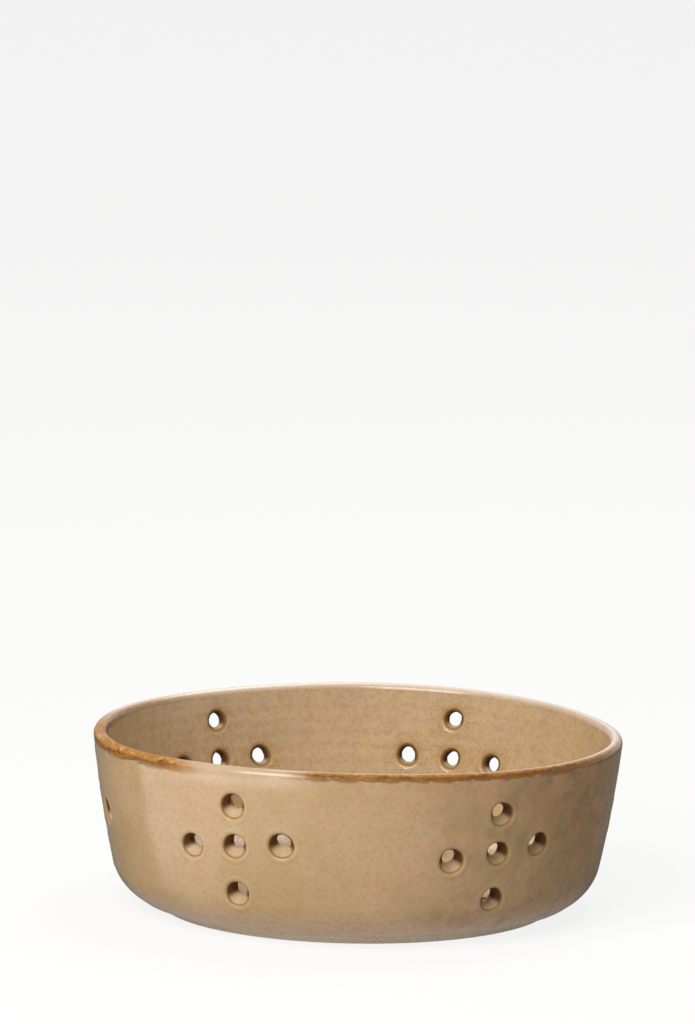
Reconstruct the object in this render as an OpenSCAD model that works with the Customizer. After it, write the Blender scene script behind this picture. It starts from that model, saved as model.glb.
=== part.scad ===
// Berry colander bowl: a one-piece stoneware bowl on a turned foot, punched with
// drain holes through the floor and with six crosses of holes through the wall.
// The clay, the foot and every coat of glaze on them are modelled as solids of
// their own. The middle of the foot is the origin, and +Z is up.

/* [Bowl] */
// Mean radius over the lip
rim_r = 81.8; // [79:0.2:88]
// Mean height from the table to the top of the lip
bowl_h = 56; // [50:0.5:66]
// How far the wall flares out from its lower corner to the lip
wall_flare = 5.8; // [4:0.2:9]
// How far the wall bellies out midway up
wall_bow = 0.5; // [0:0.1:1.5]
// Outside rounding between the wall and the underside
corner_r = 15; // [11:0.1:18]

/* [Thickness] */
// Thickness of the wall at its rounded lip
lip_t = 4.4; // [3.6:0.1:5.4]
// Thickness of the wall just above the inside corner
wall_t = 6.6; // [5:0.1:8]
// Thickness of the floor between its two coats
floor_t = 5.2; // [4:0.1:7]
// Inside rounding between the floor and the wall
inner_corner_r = 9; // [7:0.1:11]

/* [Foot] */
// How far the foot stands in from where the underside turns up
foot_inset = 0.2; // [0.1:0.1:3]
// Width of the foot from side to side
foot_w = 3.4; // [2.4:0.1:4]
// Height of the foot
foot_h = 2.6; // [2:0.1:5]
// Rounding on the two edges that touch the table
foot_edge = 0.8; // [0.4:0.1:1]

/* [Glaze] */
// Thickness of a coat of glaze
glaze_t = 0.5; // [0.3:0.05:0.55]
// Thickness of the glaze that lines a hole
sleeve_t = 0.6; // [0.6:0.05:0.75]
// Height of the bare clay between the foot and the outside coat
bare_h = 1; // [0.6:0.1:2]
// How far the brown rim reaches down the outside
band_h = 3.6; // [3:0.1:6]
// How far the brown rim reaches down the inside
band_in_h = 3.1; // [3:0.1:5]

/* [Holes] */
// Diameter of a glazed hole
bore_d = 6.2; // [5:0.1:7]
// Rounding at both ends of a hole
mouth_round = 1; // [0.8:0.05:1.3]
// How far the ring of eight holes stands in from where the floor turns up
outer_ring_inset = 11.8; // [11.8:0.1:16]
// Distance between the ring of eight and the ring of six
ring_gap = 22.7; // [18:0.1:25]
// How far the pattern in the floor sits off centre, sideways
pattern_x = -2; // [-2:0.1:2]
// How far the pattern in the floor sits off centre, towards the back
pattern_y = 2; // [-2:0.1:2]

/* [Crosses in the wall] */
// How far the upper hole of a cross sits below the top of the lip
upper_drop = 11; // [9.5:0.1:14]
// How far the lower hole of a cross sits above the glazed floor
lower_rise = 9.6; // [9:0.1:12]
// Place of the middle hole between the lower and the upper hole
middle_share = 0.544; // [0.45:0.01:0.56]
// Distance round the wall from the middle hole to a side hole
side_step = 15.7; // [12:0.1:18]
// How far a hole punched by hand strays
hand_slip = 1; // [0:0.1:1.2]

/* [Hand-made rim] */
// How far the rim is pulled out of round
rim_pull = 1.25; // [0:0.05:2]
// How far the top of the rim rises and falls
rim_wave = 0.6; // [0:0.05:1]

/* [Hidden] */

// Colours, as the bowl shows them
clay_colour = "#A79A88";
foot_colour = "#9C9388";
outer_colour = "#BE9D74";
liner_colour = "#B08F68";
band_colour = "#A9743A";
base_colour = "#BC9E78";
hole_colour = "#8A6238";

// Counts of flats: round the bowl, along each stretch of its outline, round a bore
ring_steps = 64;
corner_steps = 5;
wall_steps = 5;
lip_steps = 6;
mouth_steps = 2;
bore_facets = 48;
foot_facets = 144;
edge_steps = 3;
bare_steps = 1;

// Levels that follow from the sizes
floor_z = foot_h + floor_t;
lip_r = lip_t/2;
corner_z = foot_h + corner_r - glaze_t;
base_r = rim_r - wall_flare;
inner_corner_z = floor_z + inner_corner_r;
wall_span = bowl_h - lip_r - corner_z;
overrun = foot_h;

// The rim's shape: how many pulls go round, their share of the size, and the direction of one
pull_shares = [[1, 0.34, 242], [2, 1, -14], [3, 0.24, -43], [4, 0.25, -39], [5, 0.25, 7], [7, 0.12, -2]];
wave_shares = [[1, 0.4, 180], [2, 1, 80]];

// The six crosses: direction, how far each sits high, and how far its side holes lean, as shares of a slip
cross_angles = [6.3, 66.2, 126.2, 182.3, 241.7, 303.2];
cross_rise_shares = [0, 0.8, 0.9, 0.5, -0.4, -1.7];
cross_lean_shares = [0, 0.2, -0.2, 0.3, 1.4, 1.4];

// The floor's two rings: direction of the first hole, and each hole's slip outwards and round
inner_ring_angle = 4;
inner_slip_shares = [[1.2, 1], [0.8, -0.7], [-0.2, 0], [-0.9, 0], [-0.2, 0.3], [-0.5, -0.6]];
outer_ring_angle = 11;
outer_slip_shares = [[0.3, 1.2], [-0.8, 1.7], [1.8, 0], [0.2, -1.2], [0.6, -2.4], [-1.6, 0.3], [-0.9, 1], [-0.5, 0]];

// Sum of the waves in a table of shares, at one direction
function waves(table, a) = [for (w = table) w[1]*cos(w[0]*(a - w[2]))] * [for (w = table) 1];

// The bowl is round up to its floor, and is pulled and waved more and more towards the lip
function warp(z) = max(0, z - floor_z)/(bowl_h - floor_z);

// A point of the outline, as radius and height, carried round to a direction
function carried(p, a) =
    let (share = warp(p[1]), r = p[0] + rim_pull*share*waves(pull_shares, a))
    [r*cos(a), r*sin(a), p[1] + rim_wave*share*waves(wave_shares, a)];

// An arc of the outline
function arc(centre, radius, from, to, steps) =
    [for (i = [0:steps]) let (a = from + (to - from)*i/steps) centre + radius*[cos(a), sin(a)]];

// A bowed stretch of wall from its foot to its head, moved outwards by an offset
function bowed(foot, head, offset, shares) =
    [for (s = shares)
        let (run = head - foot, slope = [run[0] + 4*wall_bow*(1 - 2*s), run[1]], flat = norm(slope))
        foot + s*run + [4*wall_bow*s*(1 - s), 0] + offset*[slope[1], -slope[0]]/flat];

// Where the outline's stretches meet: lean of the wall at its foot and at its head
foot_lean = atan((rim_r - base_r + 4*wall_bow)/wall_span);
head_lean = atan((rim_r - base_r - 4*wall_bow)/wall_span);
corner_centre = [base_r - corner_r*cos(foot_lean), corner_z];
outer_foot = corner_centre + corner_r*[cos(foot_lean), -sin(foot_lean)];
lip_centre = [rim_r - lip_r, bowl_h - lip_r];
outer_head = lip_centre + lip_r*[cos(head_lean), -sin(head_lean)];
inner_head = lip_centre - lip_r*[cos(head_lean), -sin(head_lean)];
inner_foot_r = outer_at(inner_corner_z) - wall_t/cos(foot_lean);
inner_centre = [inner_foot_r - inner_corner_r*cos(foot_lean), inner_corner_z];
inner_foot = inner_centre + inner_corner_r*[cos(foot_lean), -sin(foot_lean)];
foot_r = corner_centre[0] - foot_inset;
outer_ring_r = inner_centre[0] - outer_ring_inset;
inner_ring_r = outer_ring_r - ring_gap;

// Radius of the outside and of the inside of the wall at a height
function outer_at(z) =
    let (s = (z - outer_foot[1])/(outer_head[1] - outer_foot[1]))
    outer_foot[0] + s*(outer_head[0] - outer_foot[0]) + 4*wall_bow*s*(1 - s);
function inner_at(z) =
    let (s = (z - inner_foot[1])/(inner_head[1] - inner_foot[1]))
    inner_foot[0] + s*(inner_head[0] - inner_foot[0]) + 4*wall_bow*s*(1 - s);

// Share of the wall's height at which the brown rim starts, outside and inside
outer_band_share = 1 - (band_h - lip_r)/(outer_head[1] - outer_foot[1]);
inner_band_share = 1 - (band_in_h - lip_r)/(inner_head[1] - inner_foot[1]);
bare_angle = asin(1 - bare_h/corner_r);

// Outline of the outside from the glaze line to the brown rim, at an inset below the glazed skin
function outside(inset) = concat(
    arc(corner_centre, corner_r - inset, -bare_angle, -foot_lean, corner_steps),
    bowed(outer_foot, outer_head, -inset, [for (i = [1:wall_steps]) outer_band_share*i/wall_steps]));

// Outline over the lip, from the brown rim's outer edge to its inner edge
function over_lip(inset) = concat(
    bowed(outer_foot, outer_head, -inset, [outer_band_share]),
    arc(lip_centre, lip_r - inset, -head_lean, 180 - head_lean, lip_steps),
    bowed(inner_foot, inner_head, inset, [inner_band_share]));

// Outline of the inside from the brown rim to the edge of the flat floor
function inside(inset) = concat(
    bowed(inner_foot, inner_head, inset, [for (i = [0:wall_steps - 1]) inner_band_share*(1 - i/wall_steps)]),
    arc(inner_centre, inner_corner_r + inset, -foot_lean, -90, corner_steps));

function reversed(list) = [for (i = [len(list) - 1:-1:0]) list[i]];

function without_first(list) = [for (i = [1:len(list) - 1]) list[i]];

// A closed outline carried round the bowl, along its hand-made rim, as a ring
module warped_ring(outline) {
    n = len(outline);
    points = [for (k = [0:ring_steps - 1]) for (p = outline) carried(p, 360*k/ring_steps)];
    faces = [for (k = [0:ring_steps - 1]) for (i = [0:n - 1])
        let (a = k*n, b = ((k + 1)%ring_steps)*n, j = (i + 1)%n)
        each [[a + i, a + j, b + j], [a + i, b + j, b + i]]];
    polyhedron(points = points, faces = faces, convexity = 8);
}

// The flat middle of the floor, whose edge meets the ring of the wall flat to flat
module floor_plate(low, high) {
    translate([0, 0, low])
        linear_extrude(height = high - low)
            polygon([for (k = [0:ring_steps - 1]) inner_centre[0]*[cos(360*k/ring_steps), sin(360*k/ring_steps)]]);
}

// Profile of one rounded mouth of a hole on its own axis: at a level, opening up or down, and
// at an inset that widens the bore to its bed in the clay
bore_r = bore_d/2;
mouth_r = bore_r + mouth_round;
function mouth(level, up, inset) =
    arc([mouth_r, level - up*mouth_round], mouth_round - inset, 180, 180 - up*90, mouth_steps);

// The punch that cuts the clay for one hole, with room for its glaze. The outside skin is at zero.
module clay_punch(depth) {
    top = [[0, overrun], [mouth_r, overrun]];
    foot = [[mouth_r, -depth - overrun], [0, -depth - overrun]];
    rotate_extrude($fn = bore_facets)
        polygon(concat(top, reversed(mouth(0, 1, sleeve_t)), mouth(-depth, -1, sleeve_t), foot));
}

// The sleeve of glaze that lines one hole
module hole_sleeve(depth) {
    bore = concat(reversed(mouth(0, 1, 0)), mouth(-depth, -1, 0));
    bed = concat(reversed(mouth(0, 1, sleeve_t)), mouth(-depth, -1, sleeve_t));
    rotate_extrude($fn = bore_facets) polygon(concat(bore, reversed(bed)));
}

// The punch that cuts a coat of glaze for one hole
module coat_punch(depth) {
    translate([0, 0, -depth - overrun])
        cylinder(h = depth + 2*overrun, r = mouth_r, $fn = bore_facets);
}

// Places each hole of the floor, with the glazed floor at zero
module at_floor_holes() {
    translate([pattern_x, pattern_y, floor_z]) {
        children();
        for (i = [0:len(inner_slip_shares) - 1])
            at_ring_hole(inner_ring_r, inner_ring_angle + 360*i/len(inner_slip_shares), inner_slip_shares[i])
                children();
        for (i = [0:len(outer_slip_shares) - 1])
            at_ring_hole(outer_ring_r, outer_ring_angle + 360*i/len(outer_slip_shares), outer_slip_shares[i])
                children();
    }
}

module at_ring_hole(radius, angle, slip) {
    rotate([0, 0, angle])
        translate([radius + hand_slip*slip[0], hand_slip*slip[1], 0])
            children();
}

floor_depth = floor_t + glaze_t;

// The five holes of a cross: distance round the wall, height, and how much the lean lifts it
upper_z = bowl_h - upper_drop;
lower_z = floor_z + lower_rise;
middle_z = lower_z + middle_share*(upper_z - lower_z);
cross_holes = [[0, middle_z, 0], [0, upper_z, 0], [0, lower_z, 0], [side_step, middle_z, 1], [-side_step, middle_z, -1]];

// Places each hole of the wall square to the wall, with the outside skin at zero
module at_wall_holes() {
    for (i = [0:len(cross_angles) - 1])
        for (hole = cross_holes) {
            z = hole[1] + hand_slip*(cross_rise_shares[i] + hole[2]*cross_lean_shares[i]);
            around = cross_angles[i] + hole[0]/outer_at(z)*180/PI;
            r = outer_at(z) + rim_pull*warp(z)*waves(pull_shares, around);
            $depth = wall_depth(z);
            rotate([0, 0, around])
                translate([r, 0, z + rim_wave*warp(z)*waves(wave_shares, around)])
                    rotate([0, 90 + wall_lean(z), 0])
                        children();
        }
}

// Lean of the outside of the wall from upright at a height
function wall_lean(z) =
    let (s = (z - outer_foot[1])/(outer_head[1] - outer_foot[1]), run = outer_head - outer_foot)
    atan((run[0] + 4*wall_bow*(1 - 2*s))/run[1]);

// Thickness of the wall along a hole that starts at a height on the outside
function wall_depth(z) =
    let (lean = wall_lean(z), first = outer_at(z) - inner_at(z))
    (outer_at(z) - inner_at(z + first*sin(lean)))/cos(lean);

// The clay: floor and wall in one, bare where its glaze will lie
module stoneware_body() {
    seam = [[inner_centre[0], foot_h]];
    bare_corner = arc(corner_centre, corner_r - glaze_t, -90, -bare_angle, bare_steps);
    outline = concat(seam, bare_corner, without_first(outside(glaze_t)), without_first(over_lip(glaze_t)),
        without_first(inside(glaze_t)));
    color(clay_colour)
        difference() {
            union() {
                warped_ring(outline);
                floor_plate(foot_h, floor_z - glaze_t);
            }
            at_floor_holes() clay_punch(floor_depth);
            at_wall_holes() clay_punch($depth);
        }
}

// The foot: a turned ring of bare clay under the floor
module foot_ring() {
    inner_r = foot_r - foot_w;
    color(foot_colour)
        rotate_extrude($fn = foot_facets)
            polygon(concat(
                arc([inner_r + foot_edge, foot_edge], foot_edge, 180, 270, edge_steps),
                arc([foot_r - foot_edge, foot_edge], foot_edge, -90, 0, edge_steps),
                [[foot_r, foot_h], [inner_r, foot_h]]));
}

// The coat on the outside, from the bare clay above the foot to the brown rim
module outer_glaze() {
    color(outer_colour)
        difference() {
            warped_ring(concat(outside(0), reversed(outside(glaze_t))));
            at_wall_holes() coat_punch($depth);
        }
}

// The coat on the inside, from the brown rim down the wall and over the floor
module liner_glaze() {
    color(liner_colour)
        difference() {
            union() {
                warped_ring(concat(inside(0), reversed(inside(glaze_t))));
                floor_plate(floor_z - glaze_t, floor_z);
            }
            at_floor_holes() coat_punch(floor_depth);
            at_wall_holes() coat_punch($depth);
        }
}

// The brown rim: the coat over the lip, where the glaze breaks to iron brown
module rim_band() {
    color(band_colour)
        warped_ring(concat(over_lip(0), reversed(over_lip(glaze_t))));
}

// The coat on the underside, inside the foot
module base_glaze() {
    color(base_colour)
        difference() {
            translate([0, 0, foot_h - glaze_t])
                cylinder(h = glaze_t, r = foot_r - foot_w, $fn = foot_facets);
            at_floor_holes() coat_punch(floor_depth);
        }
}

// The glaze that lines the thirty holes of the wall
module wall_hole_glaze() {
    color(hole_colour)
        at_wall_holes() hole_sleeve($depth);
}

// The glaze that lines the fifteen holes of the floor
module floor_hole_glaze() {
    color(hole_colour)
        at_floor_holes() hole_sleeve(floor_depth);
}

stoneware_body();
foot_ring();
outer_glaze();
liner_glaze();
rim_band();
base_glaze();
wall_hole_glaze();
floor_hole_glaze();
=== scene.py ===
"""Berry colander bowl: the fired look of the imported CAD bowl, on a plain white table.

The glazed bowl is one closed skin. It is drawn where a thickness field of the
turned and punched clay is zero, so that glaze runs round every lip and hole
without a seam. The bare foot is turned as a ring of its own under it.
"""

import logging
from dataclasses import dataclass, field
from enum import Enum, IntEnum
from itertools import combinations, product
from math import asin, atan, atan2, copysign, cos, dist, pi, radians, sin
from typing import Any, Sequence

import bmesh
import bpy
import numpy as np
from mathutils import Matrix, Vector

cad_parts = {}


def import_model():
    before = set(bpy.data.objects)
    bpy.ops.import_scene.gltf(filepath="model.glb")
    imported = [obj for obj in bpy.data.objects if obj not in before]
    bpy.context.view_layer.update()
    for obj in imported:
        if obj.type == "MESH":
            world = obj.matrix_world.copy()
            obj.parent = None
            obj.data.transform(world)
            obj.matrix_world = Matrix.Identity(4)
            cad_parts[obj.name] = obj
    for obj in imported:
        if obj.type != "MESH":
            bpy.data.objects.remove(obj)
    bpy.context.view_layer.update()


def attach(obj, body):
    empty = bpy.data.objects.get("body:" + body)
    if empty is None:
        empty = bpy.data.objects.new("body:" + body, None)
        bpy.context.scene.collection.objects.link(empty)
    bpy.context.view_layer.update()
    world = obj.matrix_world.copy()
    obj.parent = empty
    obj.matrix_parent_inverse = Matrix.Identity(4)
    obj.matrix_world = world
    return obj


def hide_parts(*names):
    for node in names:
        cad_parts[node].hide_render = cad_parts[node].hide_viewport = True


Tree = bpy.types.NodeTree
# What a link starts from: a socket, or a node for its first output
Source = bpy.types.NodeSocket | bpy.types.Node
Array = np.ndarray
Faces = list[tuple[int, ...]]
Pair = tuple[float, float]
Triple = tuple[float, float, float]

LOG = logging.getLogger("berry_colander_bowl")
MM = 0.001
SEED = 20
WHITE = (1.0, 1.0, 1.0, 1.0)
# Farther than any place on the bowl, in mm
FAR = 1e9
# Keeps a division from one by zero
TINY = 1e-6
# Past its ends a stretch counts as a trace farther, so that its neighbour wins
YIELD = 1 + 1e-6


class Side(Enum):
    """Which side of a stretch of the outline the clay lies on."""

    WITHIN = 1.0
    BEYOND = -1.0


class Region(IntEnum):
    """The stretches of the bowl's outline, in the order they are drawn."""

    UNDERSIDE = 0
    OUTER_CORNER = 1
    OUTER_WALL = 2
    LIP = 3
    INNER_WALL = 4
    INNER_CORNER = 5
    FLOOR = 6


def linear_colour(hex_colour: str) -> tuple[float, float, float, float]:
    """Turns an sRGB hex colour into the linear colour that Blender works in.

    Args:
        hex_colour: A colour such as "#B08F68".

    Returns:
        Linear red, green, blue and an alpha of one.
    """
    shares = [int(hex_colour[i:i + 2], 16) / 255 for i in (1, 3, 5)]
    red, green, blue = [s / 12.92 if s <= 0.04045 else ((s + 0.055) / 1.055) ** 2.4 for s in shares]
    return red, green, blue, 1.0


def smooth_step(low: float, high: float, value: Array) -> Array:
    """Rises smoothly from 0 at low to 1 at high."""
    share = np.clip((value - low) / (high - low), 0.0, 1.0)
    return share * share * (3.0 - 2.0 * share)


def polar(radius: float, turn: float, centre: Pair = (0.0, 0.0)) -> Pair:
    """Finds the point at a distance and a direction from a centre."""
    return centre[0] + radius * cos(turn), centre[1] + radius * sin(turn)


def placed(name: str, data: bpy.types.ID) -> bpy.types.Object:
    """Puts new data into the scene as an object.

    Args:
        name: Name of the object.
        data: Its mesh, light or camera.

    Returns:
        The object.
    """
    thing = bpy.data.objects.new(name, data)
    bpy.context.scene.collection.objects.link(thing)
    return thing


def emptied(owner: bpy.types.Material | bpy.types.World) -> Tree:
    """Gives a material or a world a node tree with nothing in it.

    Args:
        owner: The material or world.

    Returns:
        Its node tree.
    """
    owner.use_nodes = True
    owner.node_tree.nodes.clear()
    return owner.node_tree


def add_node(tree: Tree, kind: str, links: dict[Any, Any] | None = None,
             **settings: Any) -> bpy.types.Node:
    """Adds a node with its settings, and fills or links its input sockets.

    Args:
        tree: The node tree to add to.
        kind: Blender's name of the node type, after "ShaderNode".
        links: Input sockets by name or number, each with a value or a Source to link from.
        **settings: Properties of the node itself.

    Returns:
        The new node.
    """
    node = tree.nodes.new(f"ShaderNode{kind}")
    for name, value in settings.items():
        setattr(node, name, value)
    for name, value in (links or {}).items():
        if isinstance(value, bpy.types.Node):
            value = value.outputs[0]
        if isinstance(value, bpy.types.NodeSocket):
            tree.links.new(value, node.inputs[name])
        else:
            node.inputs[name].default_value = value
    return node


@dataclass(frozen=True)
class Span:
    """The stretch of a measure over which a share passes smoothly from its first to its last value."""

    start: float
    end: float
    last: float = 1.0
    first: float = 0.0


def agreed(tree: Tree, *parts: Any) -> Source:
    """Multiplies shares, so that a finish lies only where all of them agree.

    Args:
        tree: The node tree to add to.
        *parts: Shares, or pairs of a measure and the Span that makes a share of it.

    Returns:
        The product of the shares.
    """
    share = None
    for part in parts:
        if isinstance(part, tuple):
            measure, span = part
            part = add_node(tree, "MapRange", {
                "Value": measure, "From Min": span.start, "From Max": span.end, "To Min": span.first,
                "To Max": span.last}, interpolation_type="SMOOTHSTEP")
        if share is not None:
            part = add_node(tree, "Math", {0: share, 1: part}, operation="MULTIPLY")
        share = part
    return share


def either(tree: Tree, *shares: Source) -> Source:
    """Takes the highest of some shares, so that any one of them is enough.

    Args:
        tree: The node tree to add to.
        *shares: The shares.

    Returns:
        The highest of them.
    """
    highest = shares[0]
    for share in shares[1:]:
        highest = add_node(tree, "Math", {0: highest, 1: share}, operation="MAXIMUM")
    return highest


def coated(tree: Tree, below: Any, *coats: tuple[Any, ...]) -> Source:
    """Lays coats over a colour, each where its shares agree.

    Args:
        tree: The node tree to add to.
        below: The colour below, as a Source or a hex colour.
        *coats: A colour each, as a Source or a hex colour, followed by what agreed() takes.

    Returns:
        The colour that is seen.
    """
    seen, *tops = [linear_colour(c) if isinstance(c, str) else c for c in (below, *[c[0] for c in coats])]
    for top, coat in zip(tops, coats):
        seen = add_node(tree, "Mix", {0: agreed(tree, *coat[1:]), 6: seen, 7: top},
                        data_type="RGBA").outputs[2]
    return seen


@dataclass(frozen=True)
class Stretch:
    """One arc of the bowl's outline, in the plane of radius and height, in mm."""

    centre: Pair
    radius: float
    start: float
    end: float
    side: Side

    def distance(self, r: Array, z: Array) -> Array:
        """Measures points from the arc.

        Args:
            r: Radii of the points.
            z: Heights of the points.

        Returns:
            The distance, above zero in the air and below zero in the clay.
        """
        dr, dz = r - self.centre[0], z - self.centre[1]
        out = np.hypot(dr, dz)
        middle, half = (self.start + self.end) / 2, abs(self.end - self.start) / 2
        turn = np.arctan2(dz, dr) - middle
        turn = np.abs((turn + pi) % (2 * pi) - pi)
        ends = [polar(self.radius, end) for end in (self.start, self.end)]
        gap = np.minimum(*[np.hypot(dr - end[0], dz - end[1]) for end in ends])
        straight = out - self.radius
        past = np.where(straight < 0, -gap, gap) * YIELD
        return self.side.value * np.where(turn <= half, straight, past)

    @staticmethod
    def through(first: Pair, last: Pair, bow: float, side: Side) -> "Stretch":
        """Bends a shallow arc from one point up to another, bowed away from the axis.

        Args:
            first: Lower end.
            last: Upper end.
            bow: How far the middle stands out from the straight line.
            side: Where the clay lies.

        Returns:
            The arc.
        """
        a, b = Vector(first), Vector(last)
        chord = b - a
        radius = chord.length_squared / (8 * bow) + bow / 2
        outwards = Vector((chord[1], -chord[0])).normalized()
        centre = (a + b) / 2 + outwards * (bow - radius)
        low, high = a - centre, b - centre
        return Stretch((centre[0], centre[1]), radius, atan2(low[1], low[0]),
                       atan2(high[1], high[0]), side)


def harmonics(waves: Sequence[Triple], angle: Any) -> Any:
    """Adds up waves round the bowl: a count, a share and the direction of a crest in degrees each."""
    return sum(share * np.cos(count * (angle - radians(crest))) for count, share, crest in waves)


@dataclass
class BowlShape:
    """Sizes of the turned bowl in mm, as in the CAD source, and the outline they give."""

    rim_r: float = 81.8
    bowl_h: float = 56.0
    wall_flare: float = 5.8
    wall_bow: float = 0.5
    corner_r: float = 15.0
    lip_t: float = 4.4
    wall_t: float = 6.6
    floor_t: float = 5.2
    inner_corner_r: float = 9.0
    foot_h: float = 2.6
    foot_w: float = 3.4
    foot_inset: float = 0.2
    glaze_t: float = 0.5
    bare_h: float = 1.0
    rim_pull: float = 1.25
    rim_wave: float = 0.6
    clear: float = 0.1
    # Waves round the lip: a count, a share and the direction of a crest in degrees each
    pulls: tuple[Triple, ...] = (
        (1, 0.34, 242), (2, 1, -14), (3, 0.24, -43), (4, 0.25, -39), (5, 0.25, 7), (7, 0.12, -2))
    waves: tuple[Triple, ...] = ((1, 0.4, 180), (2, 1, 80))

    def __post_init__(self) -> None:
        """Works out the levels and the meeting points of the outline."""
        self.floor_z = self.foot_h + self.floor_t
        self.lip_r = self.lip_t / 2
        base_r = self.rim_r - self.wall_flare
        corner_z = self.foot_h + self.corner_r - self.glaze_t
        inner_z = self.floor_z + self.inner_corner_r
        span = self.bowl_h - self.lip_r - corner_z
        lean = -atan((self.wall_flare + 4 * self.wall_bow) / span)
        head = -atan((self.wall_flare - 4 * self.wall_bow) / span)
        down, bow = -pi / 2, self.wall_bow
        self.corner = (base_r - self.corner_r * cos(lean), corner_z)
        self.lip = (self.rim_r - self.lip_r, self.bowl_h - self.lip_r)
        self.outer_foot = polar(self.corner_r, lean, self.corner)
        self.outer_head = polar(self.lip_r, head, self.lip)
        self.inner_head = polar(-self.lip_r, head, self.lip)
        inner_foot_r = float(self.outer_at(inner_z)) - self.wall_t / cos(lean)
        self.inner_corner = (inner_foot_r - self.inner_corner_r * cos(lean), inner_z)
        self.inner_foot = (inner_foot_r, inner_z + self.inner_corner_r * sin(lean))
        self.foot_r = self.corner[0] - self.foot_inset
        self.stretches = {
            Region.OUTER_CORNER: Stretch(self.corner, self.corner_r, down, lean, Side.WITHIN),
            Region.OUTER_WALL: Stretch.through(self.outer_foot, self.outer_head, bow, Side.WITHIN),
            Region.LIP: Stretch(self.lip, self.lip_r, head, pi + head, Side.WITHIN),
            Region.INNER_WALL: Stretch.through(self.inner_foot, self.inner_head, bow, Side.BEYOND),
            Region.INNER_CORNER: Stretch(self.inner_corner, self.inner_corner_r, down, lean, Side.BEYOND),
        }

    def bowed(self, foot: Pair, head: Pair, z: Any) -> Any:
        """Radius at a height on the bowed line from the foot of a wall to its head."""
        share = (z - foot[1]) / (head[1] - foot[1])
        return foot[0] + share * (head[0] - foot[0]) + 4 * self.wall_bow * share * (1 - share)

    def outer_at(self, z: Any) -> Any:
        """Radius of the outside of the wall at a height."""
        return self.bowed(self.outer_foot, self.outer_head, z)

    def lean_at(self, z: float) -> float:
        """Finds how far the outside of the wall leans from upright.

        Args:
            z: Height in mm.

        Returns:
            The lean in radians.
        """
        height = self.outer_head[1] - self.outer_foot[1]
        share = (z - self.outer_foot[1]) / height
        run = self.outer_head[0] - self.outer_foot[0]
        return atan((run + 4 * self.wall_bow * (1 - 2 * share)) / height)

    def depth_at(self, z: float) -> float:
        """Finds how thick the wall is along a hole.

        Args:
            z: Height at which the hole starts on the outside, in mm.

        Returns:
            The depth of the hole in mm.
        """
        lean, inside = self.lean_at(z), (self.inner_foot, self.inner_head)
        first = self.outer_at(z) - self.bowed(*inside, z)
        return (self.outer_at(z) - self.bowed(*inside, z + first * sin(lean))) / cos(lean)

    def pull_at(self, angle: Any) -> Any:
        """How far the hand-made lip is pulled out at a direction, in mm."""
        return self.rim_pull * harmonics(self.pulls, angle)

    def wave_at(self, angle: Any) -> Any:
        """How far the top of the lip rises at a direction, in mm."""
        return self.rim_wave * harmonics(self.waves, angle)

    def share_at(self, z: Any) -> Any:
        """Share of the lip's pull and wave that a height carries."""
        return np.maximum(0.0, z - self.floor_z) / (self.bowl_h - self.floor_z)

    def unpulled(self, points: Array) -> tuple[Array, Array, Array]:
        """Takes the hand-made pull and wave out of points of the bowl.

        Args:
            points: Places in mm, one per row.

        Returns:
            Radius and height on the true turned bowl, and direction in radians.
        """
        x, y, z = points[:, 0], points[:, 1], points[:, 2]
        angle = np.arctan2(y, x)
        rate = self.wave_at(angle) / (self.bowl_h - self.floor_z)
        true_z = np.where(z > self.floor_z, (z + rate * self.floor_z) / (1 + rate), z)
        return np.hypot(x, y) - self.share_at(true_z) * self.pull_at(angle), true_z, angle

    def skin(self, r: Array, z: Array) -> tuple[Array, Array]:
        """Measures points of the outline's plane from the glazed skin.

        Args:
            r: Radii.
            z: Heights.

        Returns:
            The distance from the skin, below zero in the ware, and the number of the nearest region.
        """
        best = np.where(r < self.corner[0], self.foot_h - self.glaze_t - z, FAR)
        region = np.full(r.shape, Region.UNDERSIDE, np.int8)
        gaps = {Region.FLOOR: np.where(r < self.inner_corner[0], z - self.floor_z, FAR)}
        gaps.update((name, stretch.distance(r, z)) for name, stretch in self.stretches.items())
        for name, gap in gaps.items():
            nearer = np.abs(gap) < np.abs(best)
            best = np.where(nearer, gap, best)
            region[nearer] = name
        return best, region


@dataclass
class Hole:
    """One punched hole: its place on the outer skin, its axis and its slight faults, in mm."""

    place: Array
    axis: Array
    depth: float
    in_floor: bool
    across: Array = field(init=False)
    along: Array = field(init=False)
    middle: Array = field(init=False)
    faults: tuple[float, ...] = (0.0,) * 5
    reach: float = 7.0

    def __post_init__(self) -> None:
        """Squares two directions to the axis."""
        helper = np.array([1.0, 0.0, 0.0] if self.in_floor else [0.0, 0.0, 1.0])
        self.across = np.cross(self.axis, helper)
        self.across /= np.linalg.norm(self.across)
        self.along = np.cross(self.axis, self.across)
        self.middle = self.place - self.axis * self.depth / 2

    def near(self, along: Array) -> Array:
        """Tells which places along the axis lie in the hole or within reach of its mouths."""
        return (along > -self.depth - self.reach) & (along < self.reach)


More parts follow.
